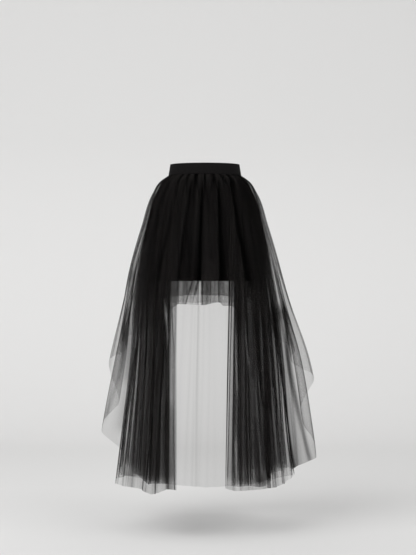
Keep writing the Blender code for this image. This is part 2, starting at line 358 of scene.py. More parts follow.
# Lines, laps and slits seen in the long nets of the two sides.
PANEL_LINES = {
    "left": (
        line(-0.420, -1.030, -0.205, -0.262, 0.0026, plies=1.3),
        line(-0.420, -1.030, -0.180, -0.228, 0.0030, lap=0.002, plies=1.8),
        line(-0.420, -1.030, -0.147, -0.197, 0.0028, lap=0.003, plies=1.7),
        line(-0.420, -1.030, -0.137, -0.184, 0.0026, lap=0.004, plies=1.6),
        line(-0.420, -1.030, -0.128, -0.153, 0.0030, lap=0.005, plies=1.4),
        line(-0.420, -1.030, -0.106, -0.112, 0.0028, plies=1.7),
        line(-0.420, -1.030, -0.100, -0.092, 0.0026, lap=0.004, plies=1.3),
        line(-0.420, -0.530, -0.124, -0.121, 0.0034, plies=0.05),
        line(-0.640, -0.980, -0.193, -0.218, 0.0040, plies=0.75),
        Fold(-0.700, -0.980, -0.168, -0.183, 0.0040, 0.0030, plies=0.60),
        line(-0.560, -0.960, -0.213, -0.243, 0.0050, plies=1.7),
        line(-0.420, -0.700, -0.106, -0.104, 0.0060, plies=1.4),
        line(-0.820, -1.000, -0.113, -0.113, 0.0050, plies=1.5),
        Fold(-0.740, -1.030, -0.110, -0.106, 0.0140, 0.0120, plies=2.4),
    ),
    "right": (
        line(-0.420, -1.030, 0.104, 0.090, 0.0024, plies=1.5),
        line(-0.420, -1.030, 0.109, 0.111, 0.0024, plies=1.8),
        line(-0.400, -0.600, 0.119, 0.139, 0.0046, plies=0.12),
        line(-0.460, -0.800, 0.157, 0.184, 0.0044, plies=0.22),
        line(-0.500, -0.680, 0.098, 0.102, 0.0032, plies=0.40),
        line(-0.660, -0.930, 0.150, 0.178, 0.0055, plies=0.45),
        line(-0.720, -1.000, 0.190, 0.213, 0.0040, plies=0.40),
        line(-0.840, -1.000, 0.096, 0.102, 0.0045, plies=0.55),
        line(-0.420, -1.030, 0.160, 0.203, 0.0028, lap=0.005, plies=1.5),
        line(-0.420, -1.030, 0.176, 0.216, 0.0028, lap=0.005, plies=1.5),
        line(-0.420, -1.030, 0.195, 0.248, 0.0026, lap=0.004, plies=1.6),
        line(-0.420, -1.030, 0.215, 0.276, 0.0030, plies=1.2),
    ),
}
PANEL_DENSITIES = (
    Density(0.00, 1.60, 2.40, 1.0),
    Density(0.04, 3.00, 2.20, 1.0),
    Density(0.12, 3.80, 1.80, 1.0),
    Density(0.22, 3.60, 1.50, 0.9),
    Density(0.28, 2.30, 1.00, 0.7),
    Density(0.34, 0.80, 0.75, 0.35),
    Density(0.42, 0.30, 0.60, 0.20),
    Density(0.52, 0.22, 0.50, 0.20),
    Density(0.62, 0.40, 0.55, 0.30),
    Density(0.75, 0.80, 0.80, 0.8),
    Density(1.00, 1.00, 1.00, 1.0),
)
# Troughs listed at the sides and on the far side.
NET_CREASES = (
    Crease(52, 1.8, 0.0065, -0.07, -0.60),
    Crease(-47, 1.8, 0.0060, -0.05, -0.52),
    Crease(-64, 2.0, 0.0065, -0.06, -0.60),
    Crease(-98, 2.0, 0.0070, -0.05, -0.75),
    Crease(101, 2.2, 0.0070, -0.06, -0.80),
    Crease(-127, 2.0, 0.0075, -0.04, -0.95),
    Crease(136, 1.6, 0.0075, -0.07, -1.00),
    Crease(-152, 1.8, 0.0070, -0.05, -1.05),
    Crease(163, 2.0, 0.0075, -0.05, -1.06),
    Crease(-174, 1.5, 0.0060, -0.10, -1.06),
)
LINING_CREASES = (
    Crease(95, 6.0, 0.0030, -0.05, -0.36),
    Crease(-120, 5.0, 0.0026, -0.07, -0.36),
    Crease(148, 6.0, 0.0028, -0.05, -0.36),
    Crease(-165, 4.0, 0.0024, -0.04, -0.30),
)
LINING = RoundCut(
    LINING_GIRTHS, LINING_HEM, LINING_FOLDS, LINING_CREASES, WAIST_FOLDS,
    columns=480, rows=40, seed=11, waver=0.0,
)
SHORT_NET = RoundCut(
    SHORT_NET_GIRTHS, SHORT_NET_HEM, SHORT_NET_FOLDS, NET_CREASES, WAIST_FOLDS + HEM_FOLDS,
    columns=1100, rows=50, seed=23,
)
HIGH_LOW_NET = RoundCut(
    HIGH_LOW_GIRTHS, HIGH_LOW_HEM, HIGH_LOW_GATHERS, NET_CREASES,
    WAIST_FOLDS + HEM_FOLDS + OUTER_LINES, columns=1200, rows=78, seed=37, merging=True,
)
PANEL_COLUMNS, PANEL_ROWS = 760, 56
PANEL_SIDE_SEEDS = {"left": 300, "right": 400}
PANEL_FIRST_SEED, PANEL_SEED_STEP = 60, 10
# A panel's hem wavers this many times as much as a round one.
PANEL_WAVER = 1.6
# Past this share of a panel, over the next, its folds and streaks lose these shares of themselves.
OUTWARD_FROM, OUTWARD_OVER, OUTWARD_FOLDS, OUTWARD_STREAKS = 0.20, 0.12, 0.45, 0.65
# A panel's folds don't lap over each other within this share of its edges.
EDGE_SHARE = 0.04
# Over its hem the outer net thickens between these heights, and the inner one from this share.
OUTER_HEM_FROM, OUTER_HEM_OVER = 0.008, 0.050
INNER_HEM_SHARE, INNER_HEM_OVER = 0.30, 0.024

# A round sheet's folds drift sideways by this angle, this far down, and vary in depth by a share.
ROUND_DRIFT, ROUND_DRIFT_DEPTH, ROUND_VARIETY = 0.25, 0.8, 0.25
# Its fine folds stray along it by this angle, and vary in depth by this share.
ROUND_FINE_STRAY, ROUND_FINE_VARIETY = 2.5, 0.7
# A panel's folds stray by one angle and swing by another, about half a wave from seam to hem.
PANEL_DRIFT, PANEL_SWING, PANEL_SWING_WAVES, PANEL_VARIETY = 0.9, 0.35, 3.1, 0.35
# Its fine folds stray and lean by these angles, and vary in depth by this share.
PANEL_FINE_STRAY, PANEL_FINE_LEAN, PANEL_FINE_VARIETY = 3.0, 1.2, 0.8
# Its drift and densities are in full after a third of its drop, and its laps a little later.
PANEL_FULL, OVERLAP_FULL, OVERLAP_VARIETY = 3, 2.5, 0.6
# Its laps open towards the hem over this height, down to this start of their easing.
OVERLAP_HEM, OVERLAP_HEM_START = 0.25, 0.35

# A crease starts and ends over these heights, and is as deep as stated at this half-width. At
# others it is as many times deeper, between two limits.
CREASE_START, CREASE_END, CREASE_REACH, CREASE_GROWTH = 0.08, 0.06, 0.20, (0.3, 1.6)
# A crease this deep has its full painted shade, which darkens the cloth's colour in it.
CREASE_FULL, CREASE_SHADE = 0.007, 0.5
# A fold fades in and out over this height, and its fading in starts this far over its start.
FOLD_FADE, FOLD_LEAD = 0.05, 0.03
# The limits of a fold's widening, and how sharply it ends where its side of the skirt does.
FOLD_WIDENING, SIDE_SHARPNESS = (0.2, 1.2), 5
# This makes a lap's greatest move as long as the lap, and this share of it goes inwards.
LAP_FULL, LAP_INWARD = 2.3, 0.8
# The least reach towards the camera by which a sideways move is turned into an angle.
LEAST_SLOPE = 0.04
# How streaks bend sideways and lean, and past which values their lines are dense or sheer.
STREAK_BEND, STREAK_BENDS, STREAK_LEAN, DENSE_FROM, SHEER_FROM = 0.004, 4.0, 0.002, 0.45, 0.35
# How strongly broad streaks, dense lines and sheer lines change a net's density.
BROAD_STREAKS, DENSE_LINES, SHEER_LINES = 0.26, 2.4, 0.9
# The rows of a sheet's grid crowd towards the waist by this power.
ROW_CROWDING = 1.25
# Painted shade of small gathers that lean either way, in turns to the metre, so they cross each other.
GATHER_SETS = (Gathers(0.30, 91), Gathers(-0.40, 97))
# They twist together, stray by an angle, and are narrowed by a power.
GATHER_TWIST, GATHER_STRAY, GATHER_SHARPNESS = 0.05, 1.8, 5
# A gather's usual painted shade and length, how far they vary, and their limits.
GATHER_STRENGTH, STRENGTH_RANGE, STRENGTH_LIMITS = 0.95, 0.7, (0.2, 1)
GATHER_LENGTH, LENGTH_RANGE, LENGTH_LIMITS = 0.150, 0.090, (0.050, 0.250)

# The waistband's section: depth to width, inner wall, rounded edges, groove under the rolled edge.
BAND_RATIO = DEPTHS[0].open_side
BAND_INNER_FOOT, BAND_INNER_RISE, BAND_INNER_STEPS, BAND_INNER_TRIM = 0.1067, 0.0018, 12, 0.0004
BAND_ROUNDING, BAND_ROUNDING_HEIGHT = 0.0011, 0.0014
BAND_GROOVE_DEPTH, BAND_GROOVE_WIDTH = 0.0007, 0.0007
BAND_COLUMNS = 256
# Heights of the rows of stitches over the band's foot, and how far a stitch stands off the cloth.
BAND_STITCH_ROWS = (0.0045, 0.0105)
STITCH_STAND_OFF = 0.0001
STITCH_UNEVENNESS, STITCH_SEED = 0.12, 7

# The backdrop: a floor from its near edge, a round turn upwards and a wall.
BACKDROP_HALF_WIDTH, BACKDROP_NEAR, BACKDROP_TURN, BACKDROP_RADIUS = 9.0, -9.0, 2.4, 1.6
BACKDROP_TOP, BACKDROP_FLOOR_STEPS, BACKDROP_TURN_STEPS = 8.0, 12, 24
# Painted light and shade along the backdrop, as shares of the floor colour.
BACKDROP_PAINTED_LIGHT = (
    BackdropPaintedLight(0.0, 0.76),
    BackdropPaintedLight(8.4, 0.78),
    BackdropPaintedLight(9.4, 1.00),
    BackdropPaintedLight(12.6, 1.00),
    BackdropPaintedLight(13.6, 0.97),
    BackdropPaintedLight(14.4, 0.89),
    BackdropPaintedLight(15.4, 0.82),
    BackdropPaintedLight(21.0, 0.80),
)
LIGHT_SIZE, LIGHT_TARGET = 4.0, (0.0, 0.0, -0.5)
KEY_PLACE, FILL_PLACE = (-2.6, -3.4, 1.9), (3.0, -3.0, 1.2)
SENSOR_WIDTH = 36.0
CLEAR_LAYERS = 64
BLACK = (0.0, 0.0, 0.0, 1.0)


def read(rows, at, column):
    """A table's named column at values of its first column, on a smooth line through the rows."""
    ordered = sorted(rows)
    xs = np.array([row[0] for row in ordered])
    ys = np.array([float(getattr(row, column)) for row in ordered])
    slopes = np.gradient(ys, xs)
    rises = np.diff(ys) / np.diff(xs)
    for index, rise in enumerate(rises):
        for end in (index, index + 1):
            limit = 3 * abs(rise)
            slopes[end] = min(max(slopes[end], -limit), limit)
    at = np.clip(np.asarray(at, float), xs[0], xs[-1])
    index = np.clip(np.searchsorted(xs, at, side="right") - 1, 0, len(xs) - 2)
    step = xs[index + 1] - xs[index]
    share = (at - xs[index]) / step
    return (
        (2 * share**3 - 3 * share**2 + 1) * ys[index]
        + (share**3 - 2 * share**2 + share) * step * slopes[index]
        + (3 * share**2 - 2 * share**3) * ys[index + 1]
        + (share**3 - share**2) * step * slopes[index + 1]
    )


def wander(at, seed, slowest=2, terms=5):
    """A smooth random line, mostly from -1 to 1, the same each run, that closes on itself."""
    rng = np.random.default_rng(seed)
    total = np.zeros_like(at)
    for term in range(terms):
        total = total + np.sin(math.tau * (slowest + term) * at + rng.uniform(0, math.tau))
    return total / math.sqrt(terms * 2)


def ease(value):
    """0 below 0, 1 above 1, and smooth between."""
    value = np.clip(value, 0, 1)
    return value * value * (3 - 2 * value)


def creases_at(creases, turn, height, reach):
    """How far the listed creases pull a sheet in, at each turn and height."""
    pulled = np.zeros_like(turn)
    growth = np.clip(reach / CREASE_REACH, *CREASE_GROWTH)
    for crease in creases:
        off = turn - math.radians(crease.turn)
        away = np.degrees(np.arctan2(np.sin(off), np.cos(off)))
        across = np.exp(-((away / crease.width) ** 2))
        starts = ease((crease.top - height) / CREASE_START)
        ends = ease((height - crease.foot) / CREASE_END + 1)
        pulled += crease.depth * across * starts * ends * growth
    return pulled


class Drape:
    """A sheet's points as turns, heights and distances out from its plain form, and its density."""

    def __init__(self, girths, turn, height, out, plies):
        self.girths = girths
        self.turn = turn
        self.height = height
        self.out = out
        self.plies = plies
        # Painted shade: the share of its colour that each point keeps, less in folds, creases and
        # between gathers.
        self.shade = np.ones_like(out)

    def fold_at(self, folds, laps=True):
        """Folds the sheet along the lines that the photo shows."""
        half_width = read(self.girths, self.height, "right")
        sideways = half_width * np.sin(self.turn)
        facing = np.cos(self.turn) * SIDE_SHARPNESS
        near, far = ease(facing), ease(-facing)
        moved = np.zeros_like(sideways)
        for fold in folds:
            down = (fold.start - self.height) / (fold.start - fold.end)
            middle = fold.start_side + (fold.end_side - fold.start_side) * down
            widening = np.clip(fold.narrowing + (1 - fold.narrowing) * down, *FOLD_WIDENING)
            away = sideways - middle
            across = away / (np.where(away < 0, fold.left, fold.right) * widening)
            along = ease((fold.start + FOLD_LEAD - self.height) / FOLD_FADE)
            along = along * ease((self.height - fold.end + FOLD_FADE) / FOLD_FADE)
            along = along * (far if fold.far else near)
            bell = np.exp(-(across**2)) * along
            self.out = self.out - fold.depth * bell
            # Painted shade: the cloth's colour is darkened along the fold's trough.
            self.shade = self.shade * (1 - fold.shade * bell)
            self.plies = self.plies * (1 + (fold.plies - 1) * bell)
            if laps:
                lap = fold.lap * across * bell * LAP_FULL
                moved = moved - lap
                self.out = self.out - LAP_INWARD * lap
        slope = np.clip(half_width * np.cos(self.turn), LEAST_SLOPE, 1)
        self.turn = self.turn + moved / slope

    def reverse(self):
        """Runs the sheet the other way, so that its outer face stays outside."""
        for name in ("turn", "height", "out", "plies", "shade"):
            setattr(self, name, getattr(self, name)[:, ::-1])

    def points(self):
        """The sheet's points, moved out from its plain form."""
        to_right = (1 + np.sin(self.turn)) / 2
        to_far = (1 - np.cos(self.turn)) / 2
        half_width = read(self.girths, self.height, "left") * (1 - to_right)
        half_width = half_width + read(self.girths, self.height, "right") * to_right
        depth = read(DEPTHS, self.height, "open_side") * (1 - to_far)
        depth = depth + read(DEPTHS, self.height, "far_side") * to_far
        reach = half_width + self.out
        x, y = reach * np.sin(self.turn), -depth * reach * np.cos(self.turn)
        return np.stack([x, y, self.height], axis=-1)


def streaks(share, height, seed, coarse, fine):
    """Dense and sheer streaks that run down a sheet: many broad ones, and fine lines between."""
    drop = SEAM_HEIGHT - height
    bent = share + STREAK_BEND * np.sin(STREAK_BENDS * drop + seed)
    broad = wander(bent, seed, slowest=coarse, terms=20)
    lines = wander(bent + STREAK_LEAN * drop, seed + 1, slowest=fine, terms=40)
    dense, sheer = np.maximum(lines - DENSE_FROM, 0), np.maximum(-lines - SHEER_FROM, 0)
    return np.exp(BROAD_STREAKS * broad + (DENSE_LINES * dense - SHEER_LINES * sheer))


def levels_between(seam, hem, rows):
    """Heights from the seam to the hem, closer together near the gathers at the waist."""
    share = np.linspace(0, 1, rows) ** ROW_CROWDING
    return seam + (hem - seam) * share[:, None]


def gather_shade(turn, height, settings):
    """Painted shade: how lit the cloth is painted, dark between its small waist gathers and in many
    thin lines.
    """
    share = turn / math.tau
    drop = SEAM_HEIGHT - height
    lit = 1 - settings.line_shade * np.clip(wander(share, 95, slowest=90, terms=70), 0, 1)
    for lean, seed in GATHER_SETS:
        leaning = share + (lean * wander(share, seed + 2, slowest=5, terms=8) - GATHER_TWIST) * drop
        places = math.tau * settings.waist_gathers * leaning
        places = places + GATHER_STRAY * wander(leaning, seed, slowest=9, terms=12)
        varied = wander(leaning, seed + 1, slowest=20, terms=20)
        strength = np.clip(GATHER_STRENGTH + STRENGTH_RANGE * varied, *STRENGTH_LIMITS)
        length = np.clip(GATHER_LENGTH + LENGTH_RANGE * varied, *LENGTH_LIMITS)
        between = (0.5 + 0.5 * np.cos(places)) ** GATHER_SHARPNESS
        lit = lit * (1 - settings.gather_shade * strength * between * ease(1 - drop / length))
    return lit


def ends_of(hem, side):
    """A hem's places and heights, for reading straight between its rows."""
    return [row.place for row in hem], [getattr(row, side) for row in hem]


def round_sheet(cut, settings):
    """The drape of a sheet that goes all the way round."""
    seed = cut.seed
    share = np.arange(cut.columns) / cut.columns
    turn = math.tau * share
    place = np.degrees(np.abs(np.arctan2(np.sin(turn), np.cos(turn))))
    right, left = (np.interp(place, *ends_of(cut.hem, side)) for side in ("right", "left"))
    foot = np.where(np.sin(turn) >= 0, right, left)
    foot = foot + cut.waver * settings.hem_waver * wander(share, seed + 3, slowest=9, terms=8)
    height = levels_between(SEAM_HEIGHT, foot, cut.rows)
    turn, share = np.broadcast_to(turn, height.shape), np.broadcast_to(share, height.shape)
    drift = ROUND_DRIFT * ease((SEAM_HEIGHT - height) / ROUND_DRIFT_DEPTH)
    drift = drift * wander(share, seed + 5, slowest=3, terms=4)
    calm = np.zeros_like(height)
    wave = np.cos(cut.folds * turn + drift)
    if cut.merging:
        calm = CALM_SHARE * ease((-np.cos(turn) - CALM_TURN) / CALM_TURN_FADE)
        calm = calm * ease((CALM_HEIGHT - height) / CALM_HEIGHT_FADE)
        merged = ease((height - FLUTES_START) / (FLUTES_FULL - FLUTES_START))
        wave = -wave * (1 - merged) - np.cos(cut.folds / 2 * turn + drift) * merged
        wave = wave * (1 - calm) + CALM_OUT * calm
    wave = wave * (1 + ROUND_VARIETY * wander(share, seed, slowest=3, terms=6))
    strayed = ROUND_FINE_STRAY * wander(share, seed + 1, slowest=4, terms=9)
    fine = np.sin(math.tau * settings.fine_folds * share + strayed)
    fine = fine * (1 + ROUND_FINE_VARIETY * wander(share, seed + 2, slowest=11, terms=9))
    pulled = creases_at(cut.creases, turn, height, read(cut.girths, height, "left"))
    out = read(cut.girths, height, "fold") * wave + read(cut.girths, height, "fine") * fine
    streaked = STREAKED_MIDDLE + STREAKED_SIDES * np.sin(turn) ** 4 - STREAKED_CALM * calm
    uneven = streaks(share, height, seed + 7, 18, 60) ** streaked
    drape = Drape(cut.girths, turn, height, out - pulled, read(cut.girths, height, "plies") * uneven)
    # Painted shade: the sheet's colour is darkened in its creases by how deep they are, and between its
    # small waist gathers.
    drape.shade = drape.shade * (1 - CREASE_SHADE * np.clip(pulled / CREASE_FULL, 0, 1))
    drape.shade = drape.shade * gather_shade(turn, height, settings)
    drape.fold_at(cut.lines, laps=cut.merging)
    return drape


def edge_turns(side, height, seam, hem, far):
    """The turn at which a panel's edge hangs at each height."""
    drop = (height - SEAM_HEIGHT) / (EDGE_HEM_HEIGHT - SEAM_HEIGHT)
    turn = np.arcsin((seam + (hem - seam) * drop) / read(PANEL_OUTER_GIRTHS, height, side))
    return math.pi - turn if far else turn


def panel_sheet(side, layer, girths, hem, trims, seed, settings):
    """The drape of one of a side panel's nets, from its open edge round to its far edge."""
    share = np.linspace(trims[0], 1 - trims[1], PANEL_COLUMNS)
    side_seed = PANEL_SIDE_SEEDS[side]
    foot = np.interp(share, *ends_of(hem, side))
    foot = foot + PANEL_WAVER * settings.hem_waver * wander(share, seed + 3, slowest=3, terms=5)
    height = levels_between(SEAM_HEIGHT, foot, PANEL_ROWS)
    share = np.broadcast_to(share, height.shape)
    edges = PANEL_EDGES[side]
    start = edge_turns(side, height, edges.open_seam, edges.open_hem, far=False)
    end = edge_turns(side, height, edges.far_seam, edges.far_hem, far=True)
    drop = (SEAM_HEIGHT - height) / (SEAM_HEIGHT - EDGE_HEM_HEIGHT)
    outward = ease((share - OUTWARD_FROM) / OUTWARD_OVER)
    grown = ease(drop * PANEL_FULL)
    drift = PANEL_DRIFT * wander(share, side_seed + 5, slowest=2, terms=4)
    drift = drift + PANEL_SWING * np.sin(PANEL_SWING_WAVES * drop + side_seed)
    phase = math.tau * PANEL_FOLDS * share + drift * grown
    wave = np.sin(phase) * (1 + PANEL_VARIETY * wander(share, side_seed, slowest=3, terms=6))
    wave = wave * (1 - OUTWARD_FOLDS * outward)
    over_hem = height - foot
    overlap = settings.fold_overlap * ease(drop * OVERLAP_FULL)
    overlap = overlap * ease(over_hem / OVERLAP_HEM + OVERLAP_HEM_START)
    overlap = overlap * (1 + OVERLAP_VARIETY * wander(share, side_seed + 6, slowest=3, terms=7))
    pitch = (end - start) / PANEL_FOLDS
    sideways = -overlap * pitch / (2 * math.tau) * np.sin(2 * phase)
    inside = ease((share - trims[0]) / EDGE_SHARE) * ease((1 - trims[1] - share) / EDGE_SHARE)
    turn = start + (end - start) * share + sideways * inside
    strayed = PANEL_FINE_STRAY * wander(share, seed + 1, slowest=3, terms=9)
    fine = np.sin(math.tau * settings.fine_folds * share + strayed + PANEL_FINE_LEAN * drop)
    fine = fine * (1 + PANEL_FINE_VARIETY * wander(share, seed + 2, slowest=11, terms=12))
    out = read(girths, height, "fold") * wave + read(girths, height, "fine") * fine
    gathered = 1 + (read(PANEL_DENSITIES, share, layer) - 1) * grown
    streaked = streaks(share, height, seed + 7, 6, 64)
    gathered = gathered * streaked ** (1 - OUTWARD_STREAKS * outward)
    if layer == "outer":
        at_hem = read(PANEL_DENSITIES, share, "foot")
        risen = ease((over_hem - OUTER_HEM_FROM) / OUTER_HEM_OVER)
        gathered = at_hem + (gathered - at_hem) * risen
    else:
        risen = ease(over_hem / INNER_HEM_OVER)
        gathered = gathered * (INNER_HEM_SHARE + (1 - INNER_HEM_SHARE) * risen)
    turn = -turn if side == "left" else turn
    drape = Drape(girths, turn, height, out, read(girths, height, "plies") * gathered)
    # Painted shade between the small waist gathers and in thin lines down the net.
    drape.shade = gather_shade(turn, height, settings)
    drape.fold_at(WAIST_FOLDS + PANEL_LINES[side])
    if side == "left":
        drape.reverse()
    return drape


def arc_lengths(points, axis):
    """Running length along one axis of a grid of points, starting at 0."""
    steps = np.linalg.norm(np.diff(points, axis=axis), axis=-1)
    pad = [(0, 0), (0, 0)]
    pad[axis] = (1, 0)
    return np.cumsum(np.pad(steps, pad), axis=axis)


def repeat_first(points, closed):
    """A grid of points with its first column again at its end, where the sheet is closed."""
    return np.concatenate([points, points[:, :1]], axis=1) if closed else points


def add_sheet(name, points, plies, shade, closed, material, ring=False):
    """A one-skin mesh of a grid of points, with its cloth coordinates in metres and its plies.

    A closed one goes all the way round, and the last row of a ring's section joins its first.
    """
    rows, columns = plies.shape
    index = repeat_first(np.arange(rows * columns).reshape(rows, columns), closed)
    around = repeat_first(points, closed)
    hem_length = arc_lengths(around, 1)[-1]
    cloth = np.stack([np.broadcast_to(hem_length, (rows, len(hem_length))),
                      arc_lengths(around, 0)], axis=-1)
    corners = np.stack([cloth[:-1, :-1], cloth[1:, :-1], cloth[1:, 1:], cloth[:-1, 1:]], axis=2)
    if ring:
        index = np.concatenate([index, index[:1]])
        corners = np.concatenate([corners, np.zeros_like(corners[:1])])
    faces = np.stack([index[:-1, :-1], index[1:, :-1], index[1:, 1:], index[:-1, 1:]], axis=-1)
    mesh = bpy.data.meshes.new(name)
    mesh.from_pydata(points.reshape(-1, 3).tolist(), [], faces.reshape(-1, 4).tolist())
    layer = mesh.uv_layers.new(name="cloth")
    layer.data.foreach_set("uv", corners.reshape(-1).astype(np.float32))
    add_attribute(mesh, "plies", plies)
    # The painted shade: the share of its colour that each point keeps.
    add_attribute(mesh, "shade", shade)
    mesh.shade_smooth()
    mesh.update()
    mesh.materials.append(material)
    return add_object(name, mesh)


def add_attribute(mesh, name, values):
    """Gives each point of a mesh a number."""
    attribute = mesh.attributes.new(name, "FLOAT", "POINT")
    attribute.data.foreach_set("value", values.reshape(-1).astype(np.float32))


def add_object(name, data):
    """An object of a mesh, a light or a camera, in the scene."""
    item = bpy.data.objects.new(name, data)
    bpy.context.scene.collection.objects.link(item)
    return item


def hang_sheet(name, node, drape, material, closed=True, thickness=0.0):
    """Makes a sheet, rides it on the skirt in its solid's place and hides the solid."""
    points = drape.points()
    piece = add_sheet(name, points, drape.plies, drape.shade, closed, material)
    if thickness:
        wall = piece.modifiers.new("cloth thickness", "SOLIDIFY")
        wall.thickness = thickness
        wall.offset = 1.0
    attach(piece, BODY)
    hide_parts(node)
    return points


class Value:
    """A shader node's number, used in sums that are written as Python expressions."""

    def __init__(self, finish, socket):
        self.finish = finish
        self.socket = socket

    def maths(self, operation, *values):
        """A Math node's result on values or plain numbers."""
        node = self.finish.node("ShaderNodeMath", {"operation": operation}, *values)
        return Value(self.finish, node.outputs[0])

    def __add__(self, other):
        return self.maths("ADD", self, other)

    def __sub__(self, other):
        return self.maths("SUBTRACT", self, other)

    def __rsub__(self, other):
        return self.maths("SUBTRACT", other, self)

    def __mul__(self, other):
        return self.maths("MULTIPLY", self, other)

    def __truediv__(self, other):
        return self.maths("DIVIDE", self, other)

    def __rpow__(self, other):
        return self.maths("POWER", other, self)

    __radd__ = __add__
    __rmul__ = __mul__

    def cosine(self):
        """The cosine of an angle in radians."""
        return self.maths("COSINE", self)

    def at_least(self, other):
        """The greater of the two."""
        return self.maths("MAXIMUM", self, other)


class Nodes:
    """A tree of nodes, and the one way in which nodes are added to it."""

    def __init__(self, tree):
        self.tree = tree

    def feed(self, socket, value):
        """Links a Value or a socket, or sets a plain number, colour or vector."""
        if isinstance(value, Value):
            value = value.socket
        if isinstance(value, bpy.types.NodeSocket):
            self.tree.links.new(value, socket)
        else:
            socket.default_value = value

    def node(self, kind, settings=None, *values, **sockets):
        """A node of a kind: first its settings, then its sockets by their places or names."""
        node = self.tree.nodes.new(kind)
        for name, value in (settings or {}).items():
            setattr(node, name, value)
        for place, value in enumerate(values):
            self.feed(node.inputs[place], value)
        for name, value in sockets.items():
            self.feed(node.inputs[name], value)
        return node


class Finish(Nodes):
    """One material and the nodes that make it."""

    def __init__(self, name):
        self.material = bpy.data.materials.new(name)
        self.material.use_nodes = True
        super().__init__(self.material.node_tree)
        self.shader = self.tree.nodes["Principled BSDF"]

    def surface(self, **sockets):
        """Sets the main shader's sockets, with underscores for the spaces in their names."""
        for name, value in sockets.items():
            self.feed(self.shader.inputs[name.replace("_", " ")], value)
        return self.material

    def attribute(self, name):
        """A number that each point of the mesh carries."""
        return Value(self, self.node("ShaderNodeAttribute", {"attribute_name": name}).outputs["Fac"])

    def cloth(self):
        """The cloth coordinates, and the distances across and down that they hold."""
        place = self.node("ShaderNodeUVMap", {"uv_map": "cloth"}).outputs["UV"]
        parts = self.node("ShaderNodeSeparateXYZ", Vector=place).outputs
        return place, Value(self, parts["X"]), Value(self, parts["Y"])

    def noise(self, vector, scale, detail):
        """Soft random blotches from 0 to 1, at so many to the metre."""
        node = self.node("ShaderNodeTexNoise", Vector=vector, Scale=scale, Detail=detail)
        return Value(self, node.outputs["Fac"])

    def blend(self, factor, first, second):
        """A colour between two colours."""
        node = self.node("ShaderNodeMix", {"data_type": "RGBA"}, Factor=factor)
        self.feed(node.inputs[6], first)
        self.feed(node.inputs[7], second)
        return node.outputs[2]

    def bump(self, height, distance, strength):
        """A bump of a height from 0 to 1, so many metres deep."""
        node = self.node("ShaderNodeBump", Height=height, Distance=distance, Strength=strength)
        return node.outputs["Normal"]


def scaled_colour(colour, share=1.0):
    """A colour made darker or paler by a share, and opaque."""
    return (colour[0] * share, colour[1] * share, colour[2] * share, 1.0)


def net_finish(settings):
    """Sheer net: fine six-sided holes, darker where it is gathered and where it is seen slantwise."""
    finish = Finish("sheer black net")
    cloth, across, down = finish.cloth()
    turns = math.tau / settings.hole_size
    across = across * turns
    down = down * (turns * math.sqrt(3) / 2)
    half = across * 0.5
    holes = across.cosine() + (half - down).cosine() + (half + down).cosine()
    weave = 1 - holes * (settings.hole_contrast / 3)
    grain = finish.noise(cloth, scale=260.0, detail=3.0)
    uneven = grain * 0.9 + 0.55
    facing = finish.node("ShaderNodeLayerWeight", Blend=0.5).outputs["Facing"]
    straight = (1 - Value(finish, facing)).at_least(settings.least_slant)
    crossed = finish.attribute("plies") * weave * uneven / straight
    # Painted shade from the points' shade, darker in folds, creases and between gathers, times random
    # grain.
    lit = finish.attribute("shade") * (grain * 0.5 + 0.75)
    return finish.surface(
        Base_Color=finish.blend(lit, BLACK, scaled_colour(settings.colour)),
        Roughness=0.9,
        Alpha=1 - settings.clearness ** crossed,
        Specular_IOR_Level=settings.gloss,
    )


def shared_net(settings):
    """The net's material, made once."""
    return bpy.data.materials.get("sheer black net") or net_finish(settings)


def lining_finish(settings):
    """Opaque black woven lining with a fine plain weave."""
    finish = Finish("black woven lining")
    cloth, across, down = finish.cloth()
    turns = math.tau / settings.thread_pitch
    threads = (across * turns).cosine() * (down * turns).cosine() * 0.5 + 0.5
    blotches = finish.noise(cloth, scale=40.0, detail=3.0)
    # Painted shade from the points' shade, darker in folds, creases and between gathers, times random
    # blotches.
    lit = finish.attribute("shade") * (blotches * 0.6 + 0.7)
    return finish.surface(
        Base_Color=finish.blend(lit, BLACK, scaled_colour(settings.colour)),
        Roughness=0.72 + 0.2 * blotches,
        Specular_IOR_Level=0.04,
        Sheen_Weight=0.01,
        Normal=finish.bump(threads, distance=0.0002, strength=0.4),
    )


def elastic_finish(settings):
    """Matte black elastic, ribbed up and down, paler on its raised ribs and darker between them."""
    finish = Finish("black ribbed elastic")
    cloth, across, down = finish.cloth()
    turns = math.tau / settings.wale_pitch
    wales = (across * turns).cosine() * 0.5 + 0.5
    courses = (down * (turns * 0.6)).cosine() * 0.5 + 0.5
    height = wales * 0.7 + courses * 0.3
    worn = finish.noise(cloth, scale=55.0, detail=4.0)
    # Paler where the ribs stand up and in random worn patches, darker between the ribs.
    paleness = height * 0.6 + worn * 0.4
    return finish.surface(
        Base_Color=finish.blend(paleness, scaled_colour(settings.colour, 0.7), scaled_colour(settings.colour, 1.35)),
        Roughness=0.78 + 0.15 * worn,
        Specular_IOR_Level=0.06,
        Sheen_Weight=0.015,
        Normal=finish.bump(height, distance=0.0003, strength=0.5),
    )


def thread_finish(settings):
    """Black sewing thread."""
    finish = Finish("black sewing thread")
    place = finish.node("ShaderNodeTexCoord").outputs["Object"]
    twist = finish.noise(place, scale=900.0, detail=1.0)
    return finish.surface(
        Base_Color=finish.blend(twist, scaled_colour(settings.colour, 0.7), scaled_colour(settings.colour, 1.2)),
        Roughness=0.65 + 0.2 * twist,
        Specular_IOR_Level=0.1,
    )


